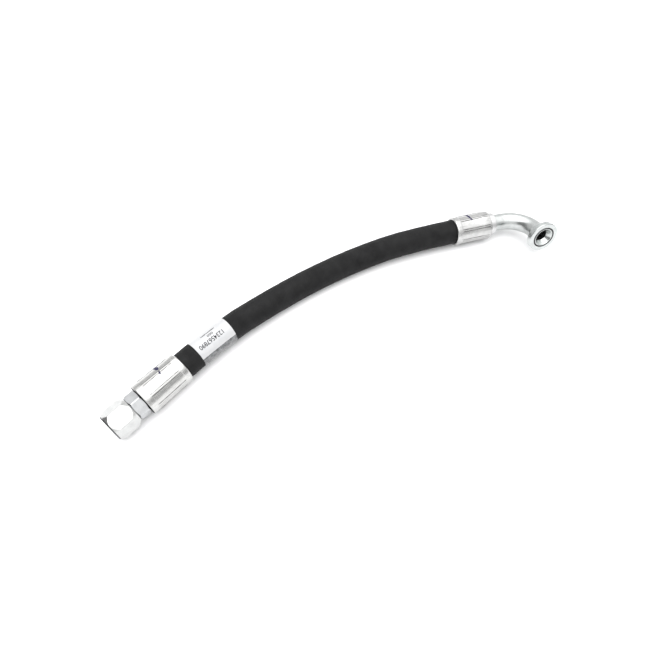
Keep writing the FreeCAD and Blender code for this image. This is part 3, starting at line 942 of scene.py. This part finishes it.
def nutInsertOutline(angle):
    n = nutInsert
    cornerR = n["acrossFlats"] / math.sqrt(3.0)
    low = min(cornerR - n["chamfer"], n["acrossFlats"] / 2.0 - 0.15)
    seatDepth = (n["seatMouthR"] - stem["boreR"]) / math.tan(math.radians(n["seatDeg"]))
    corners = stemCorners() + [(n["start"], stem["grooveR"], 0.2)]
    corners += hexCorners(n, angle, low, 0.25)
    corners += [
        (n["end"], n["neckR"], 0.15), (n["grooveAt"] - n["grooveHalf"], n["neckR"], 0.1),
        (n["grooveAt"], n["neckR"] - n["grooveDepth"] * 1.3, 0.9),
        (n["grooveAt"] + n["grooveHalf"], n["neckR"], 0.1),
        (n["noseStart"], n["neckR"], 0.15), (n["noseStart"], n["noseR"], 0.2),
        (n["noseEnd"], n["noseR"], 0.4), (n["noseEnd"], n["seatMouthR"], 0.15),
        (n["noseEnd"] - seatDepth, stem["boreR"], 0.2)]
    return eased(inMetres(corners))


insertNutEnd = latheSkin("insertNutEnd", nutInsertOutline, hexAngles(nutInsert["clockDeg"]), nutEnd,
                         nutInsert["acrossFlats"] / 2 * mm, materials["fitting"])
insertFlangeEnd = turnedPiece("insertFlangeEnd", inMetres(stemCorners() + [
    (collar["start"], stem["grooveR"], 0.2), (collar["start"], collar["r"], collar["chamfer"]),
    (collar["end"], collar["r"], collar["chamfer"]), (collar["end"], collar["socketR"], 0.15),
    (collar["socketStart"], collar["socketR"], 0.0), (collar["socketStart"], stem["boreR"], 0.0)]),
    flangeEnd, materials["collar"])
insertNeckShade = {"from": 46.0, "to": 54.6, "r": 8.5}     # mm, painted shade between the ferrule and the hexagon
finishFaces(insertNutEnd, nutEnd, materials["gap"],
            lambda x, r: insertNeckShade["from"] < x < insertNeckShade["to"] and r > insertNeckShade["r"])
print("inserts")

# swivel nut

nut = {
    "acrossFlats": 31.75, "start": 67.3, "end": 95.0, "endR": 15.1, "chamfer": 6.2, "clockDeg": -4.4,
    "cornerRound": 0.9, "edgeRound": 0.5, "rimR": 14.7, "rim": 1.2, "rimEdge": 0.5, "rearBoreR": 11.0,
    "wallEnd": 74.6, "mapR": 16.5, "reliefR": 13.7, "reliefEnd": 80.7,
    "minorR": 12.35, "majorR": 13.55, "mouthR": 13.9,
}
nutThread = {"pitch": 2.117, "startAt": 81.6, "turns": 5.3, "crest": 0.30, "root": 1.75, "sides": 72}


def nutOutline(angle):
    n = nut
    lead = n["mouthR"] - n["majorR"] + 0.4
    corners = [(n["start"], n["rearBoreR"], 0.15)] + hexCorners(n, angle, n["endR"], n["edgeRound"])
    corners[-1] = (n["end"] - n["rim"], n["endR"] + n["rim"] * 0.35, 0.4)
    corners += [
        (n["end"], n["rimR"], 0.3), (n["end"], n["mouthR"], 0.25), (n["end"] - lead, n["majorR"], 0.2),
        (n["reliefEnd"], n["majorR"], 0.1), (n["reliefEnd"] - 0.3, n["reliefR"], 0.1),
        (n["wallEnd"], n["reliefR"], 0.2), (n["wallEnd"], n["rearBoreR"], 0.2)]
    return eased(inMetres(corners))


def threadTree():
    sizes = dict.fromkeys(("Pitch", "Turns", "Root Radius", "Crest Radius", "Root Width", "Crest Width"),
                          "Float")
    tree, given, out = shapeGroup("nutThread", {**sizes, "Sides": "Int", "Metal": "Material"})
    middle = times(tree, plus(tree, given["Root Radius"], given["Crest Radius"]), 0.5)
    helix = addNode(tree, "GeometryNodeCurveSpiral", {
        "Resolution": given["Sides"], "Rotations": given["Turns"],
        "Start Radius": middle, "End Radius": middle,
        "Height": times(tree, given["Pitch"], given["Turns"])})
    upright = addNode(tree, "GeometryNodeSetCurveNormal", {"Curve": helix.outputs[0]}, mode="Z_UP")
    tooth = addNode(tree, "GeometryNodeCurvePrimitiveQuadrilateral", {
        "Height": minus(tree, given["Root Radius"], given["Crest Radius"]),
        "Bottom Width": given["Root Width"], "Top Width": given["Crest Width"], "Offset": 0.0,
    }, mode="TRAPEZOID")
    inward = addNode(tree, "GeometryNodeTransform", {
        "Geometry": tooth.outputs[0], "Rotation": (0.0, 0.0, math.pi / 2)})
    swept = addNode(tree, "GeometryNodeCurveToMesh", {
        "Curve": upright.outputs[0], "Profile Curve": inward.outputs[0], "Fill Caps": True})
    return closeShape(tree, out, swept, given["Metal"])


def makeThread():
    t = nutThread
    mesh = meshFromTree("nutThread", threadTree(), {
        "Pitch": t["pitch"] * mm, "Turns": t["turns"], "Root Radius": (nut["majorR"] + 0.1) * mm,
        "Crest Radius": nut["minorR"] * mm, "Root Width": t["root"] * mm, "Crest Width": t["crest"] * mm,
        "Sides": t["sides"], "Metal": materials["thread"]})
    alongNut = Matrix.Translation((t["startAt"] * mm, 0, 0)) @ Matrix.Rotation(math.pi / 2, 4, "Y")
    mesh.transform(nutEnd @ alongNut)
    pointOutwards(mesh, merge=1e-7)
    return addObject("nutThread", mesh)


swivelNut = latheSkin("swivelNut", nutOutline, hexAngles(nut["clockDeg"]), nutEnd,
                     nut["mapR"] * mm, materials["nut"])
# painted shade: the faces of the nut's front rim get a near-black zinc, standing in for the dark reflections
# and shadow that fall there
finishFaces(swivelNut, nutEnd, materials["nutRimShade"],
            lambda x, r: x > nut["end"] - nut["rim"] and r < nut["endR"] + nut["rimEdge"])
threadPiece = makeThread()
print("swivel nut and thread")

# bent tube, flange head and braze

elbow = {
    "tubeR": 11.0, "boreR": 7.0, "bendR": 33.0, "socketStart": 52.44, "stopBehindFace": 7.24,
    "flatten": 0.02, "around": 96, "bendSteps": 56,
}
head = {
    "r": 19.05, "thickness": 6.73, "edge": 0.9, "hub": 7.5, "hubRootR": 13.6, "hubTipR": 12.6,
    "socketR": 11.04, "stop": 7.2,
    "portR": 11.0, "coneDepth": 6.0, "grooveOuterR": 13.65, "grooveInnerR": 11.75, "grooveDepth": 1.5,
}
oRing = {"r": 0.89, "ringR": 12.70, "at": -0.58}
braze = {"leg": 1.3, "uneven": 0.10}

faceOut = Vector(flangeSeat["axis"]).normalized()
faceCentre = Vector(flangeSeat["pos_m"]) + faceOut * (head["thickness"] * mm / 2)
tubeAxis = Vector(flangeEnd.col[0][:3])
mouth = Vector(flangeEnd.col[3][:3])
bendCorner = mouth + tubeAxis * (faceCentre - mouth).dot(tubeAxis)
flangeFace = axes(faceCentre, faceOut, faceOut.cross(tubeAxis) * -1.0)


def elbowLine():
    e = elbow
    bendR = e["bendR"] * mm
    start = mouth + tubeAxis * (e["socketStart"] * mm)
    bendStart = bendCorner - tubeAxis * bendR
    finish = faceCentre - faceOut * (e["stopBehindFace"] * mm)
    centre = bendStart + faceOut * bendR
    line = [start.lerp(bendStart, t) for t in (0.0, 0.25, 0.5, 0.75, 0.9)]
    for i in range(e["bendSteps"] + 1):
        a = math.pi / 2 * i / e["bendSteps"]
        line.append(centre - faceOut * (bendR * math.cos(a)) + tubeAxis * (bendR * math.sin(a)))
    return line + [line[-1].lerp(finish, t) for t in (0.3, 0.6, 1.0)]


def tubeRadius(passed, angle):
    # a bent tube goes a little oval across the bend
    lead = (bendCorner - mouth).length - (elbow["bendR"] + elbow["socketStart"]) * mm
    inBend = (passed - lead) / (math.pi / 2 * elbow["bendR"] * mm)
    oval = elbow["flatten"] * math.sin(math.pi * min(max(inBend, 0.0), 1.0)) ** 2
    return elbow["tubeR"] * mm * (1.0 - oval * math.cos(2 * angle))


elbowFrames = lineFrames(elbowLine(), faceOut.cross(tubeAxis).normalized())
elbowTube = pipeSkin("elbowTube", elbowFrames, tubeRadius, elbow["boreR"] * mm, elbow["around"],
                     materials["tube"], boreStride=3)


def headCorners():
    h = head
    back, hubEnd = -h["thickness"], -h["thickness"] - h["hub"]
    return [
        (-h["coneDepth"], elbow["boreR"], 0.1), (0.0, h["portR"], 0.25), (0.0, h["grooveInnerR"], 0.15),
        (-h["grooveDepth"], h["grooveInnerR"], 0.1), (-h["grooveDepth"], h["grooveOuterR"], 0.1),
        (0.0, h["grooveOuterR"], 0.15), (0.0, h["r"], h["edge"]), (back, h["r"], h["edge"]),
        (back, h["hubRootR"], 0.8), (hubEnd, h["hubTipR"], 0.4), (hubEnd, h["socketR"], 0.1),
        (-h["stop"], h["socketR"], 0.0), (-h["stop"], elbow["boreR"], 0.0)]


flangeHead = turnedPiece("flangeHead", inMetres(headCorners()), flangeFace, materials["flange"], 192)


def makeORing():
    r = oRing["r"] * mm
    section = [Vector((oRing["at"] * mm + r * math.cos(a), oRing["ringR"] * mm + r * math.sin(a)))
               for a in evenAngles(24)]
    return latheSkin("flangeORing", lambda angle: section, evenAngles(144), flangeFace, oRing["ringR"] * mm,
                     materials["seal"])


flangeORing = makeORing()


# A fillet of braze from the face at x to the tube, uneven round the joint.
def brazeRing(name, place, x, outward, seed):
    inner = elbow["tubeR"] + 0.04

    def outline(angle):
        wave = Vector((math.cos(angle) * 2.2, math.sin(angle) * 2.2, seed))
        leg = braze["leg"] * (1.0 + braze["uneven"] * noise.noise(wave) * 2.0)
        points = [Vector((x, inner))]
        for i in range(9):      # hollow face of the fillet
            a = math.pi / 2 * i / 8
            points.append(Vector((x + outward * leg * (1 - math.sin(a)), inner + leg * (1 - math.cos(a)))))
        return [point * mm for point in points]

    return latheSkin(name, outline, evenAngles(120), place, inner * mm, materials["braze"])


brazeRingCollar = brazeRing("brazeRingCollar", flangeEnd, collar["end"] + 0.04, 1.0, 3.0)
brazeRingFlange = brazeRing("brazeRingFlange", flangeFace, -head["thickness"] - head["hub"] - 0.04, -1.0, 8.0)
print("elbow and flange")

# CAD nodes that stay: layers inside the hose, and the wire that holds the nut

keptNodes = {"hose_inner_tube": "tubeRubber", "nut_thrust_wire": "springWire"}
keptNodes.update({"wire_spiral_%d" % i: "wire" for i in range(1, 5)})
keptNodes.update({"insulation_%d" % i: "insulationRubber" for i in range(1, 4)})


def dress(node, material):
    mesh = frame["nodes"][node].data
    if mesh.materials:
        for i in range(len(mesh.materials)):
            mesh.materials[i] = material
    else:
        mesh.materials.append(material)


for node, finish in keptNodes.items():
    dress(node, materials[finish])

# floor and light

studio = {
    "floorHalf": 3.0, "floorColour": (0.88, 0.88, 0.885),
    "boxPlace": (-0.15, 0.15, 1.2), "boxSize": (1.5, 1.5),
    "boxWatts": 14.5, "skyHigh": 1.95, "skyLow": 1.22, "highFrom": 0.52, "highTo": 0.70,
    # each is a direction, the share of light left there, and the cosines where it starts and is full
    "dimmer": (((-0.95, -0.31), 0.22, 0.74, 0.93), ((0.90, -0.44), 0.55, 0.93, 0.985),
               ((-0.76, 0.65), 0.75, 0.80, 0.95)),
}


def makeFloor():
    half = studio["floorHalf"]
    verts = [(-half, -half, 0.0), (half, -half, 0.0), (half, half, 0.0), (-half, half, 0.0)]
    mesh = bpy.data.meshes.new("floor")
    mesh.from_pydata(verts, [], [(0, 1, 2, 3)])
    material, _tree, shader = plainMaterial("floorPaper", 0.0, 0.0)
    shader.inputs["Base Color"].default_value = (*studio["floorColour"], 1.0)
    shader.inputs["Roughness"].default_value = 0.9
    mesh.materials.append(material)
    floor = addObject("floor", mesh)


def makeLights():
    data = bpy.data.lights.new("softbox", "AREA")
    data.shape = "RECTANGLE"
    data.size, data.size_y = studio["boxSize"]
    data.energy = studio["boxWatts"]
    box = addObject("softbox", data)
    box.location = studio["boxPlace"]


def makeSky():
    world = bpy.data.worlds.new("studio")
    scene.world = world
    world.use_nodes = True
    tree = world.node_tree
    back = next(n for n in tree.nodes if n.type == "BACKGROUND")
    # bright overhead; dimmer round the horizon, and darker there in three directions
    x, y, z = split(tree, addNode(tree, "ShaderNodeTexCoord").outputs["Generated"])
    flatSquare = minus(tree, 1.0, times(tree, z, z))
    flat = math2(tree, "SQRT", math2(tree, "MAXIMUM", flatSquare, 1e-4))
    low = studio["skyLow"]
    for (towardsX, towardsY), share, edge, full in studio["dimmer"]:
        facing = plus(tree, times(tree, x, towardsX), times(tree, y, towardsY))
        dimmed = remap(tree, over(tree, facing, flat), edge, full, 1.0, share, True)
        low = times(tree, low, dimmed)
    strength = remap(tree, z, studio["highFrom"], studio["highTo"], low, studio["skyHigh"], True)
    feed(tree, back, "Strength", strength)
    feed(tree, back, "Color", (1.0, 1.0, 1.0, 1.0))


makeFloor()
makeLights()
makeSky()
scene.view_settings.view_transform = "Standard"
print("studio")

# what each piece stands for and rides on

hoseBody = "hose_and_fittings"
pieces = [
    (ferruleNutEnd, hoseBody, "ferrule_nut_end", "zinc_ferrule"),
    (ferruleFlangeEnd, hoseBody, "ferrule_flange_end", "zinc_ferrule"),
    (insertNutEnd, hoseBody, "insert_nut_end", "zinc_fitting"),
    (insertFlangeEnd, hoseBody, "insert_flange_end", "zinc_fitting"),
    (swivelNut, "nut", "swivel_nut", "zinc_nut"),
    (threadPiece, "nut", None, "zinc_nut"),
    (elbowTube, hoseBody, "elbow_tube", "zinc_fitting"),
    (flangeHead, hoseBody, "flange_head", "zinc_fitting"),
    (flangeORing, hoseBody, "flange_o_ring", "seal_rubber"),
    (brazeRingCollar, hoseBody, "braze_ring_collar", "braze"),
    (brazeRingFlange, hoseBody, "braze_ring_flange", "braze"),
    (hoseCover, hoseBody, "hose_cover", "cover_rubber"),
    (hoseLabel, hoseBody, "hose_label", "label_film"),
    (labelPrint, hoseBody, None, "label_film"),
    (labelClearWrap, hoseBody, "label_clear_wrap", "clear_film"),
]
for piece, body, node, slot in pieces:
    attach(piece, body)
    if node:
        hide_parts(node)
